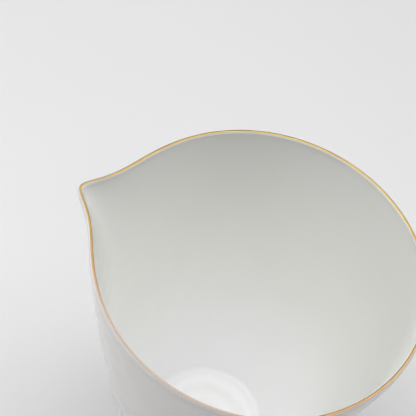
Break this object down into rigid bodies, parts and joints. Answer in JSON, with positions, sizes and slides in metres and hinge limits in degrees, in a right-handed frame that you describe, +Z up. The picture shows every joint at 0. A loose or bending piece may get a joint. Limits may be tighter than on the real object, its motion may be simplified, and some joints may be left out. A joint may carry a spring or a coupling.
{
  "type": "porcelain cream jug",
  "caption": "Handleless porcelain cream jug: a thin round bowl that narrows to a foot ring, with a short pinched pouring beak and a gold line on its lip.",
  "frame": {"origin": "on the jug's axis, in the plane of the foot ring's resting face", "axes": "+Z up along the jug's axis, out of its mouth; the pouring beak points along -X"},
  "size_m": [0.0909, 0.0832, 0.0871],
  "materials": {
    "bisque": "matte",
    "bare_foot": "matte",
    "inside_glaze": "gloss",
    "outside_glaze": "gloss",
    "underside_glaze": "gloss",
    "gold": "gloss"
  },
  "bodies": {
    "root": {"jug_body": "bisque", "foot_ring": "bare_foot", "inside_glaze": "inside_glaze", "outside_glaze": "outside_glaze", "underside_glaze": "underside_glaze", "gold_rim": "gold"}
  },
  "joints": []
}
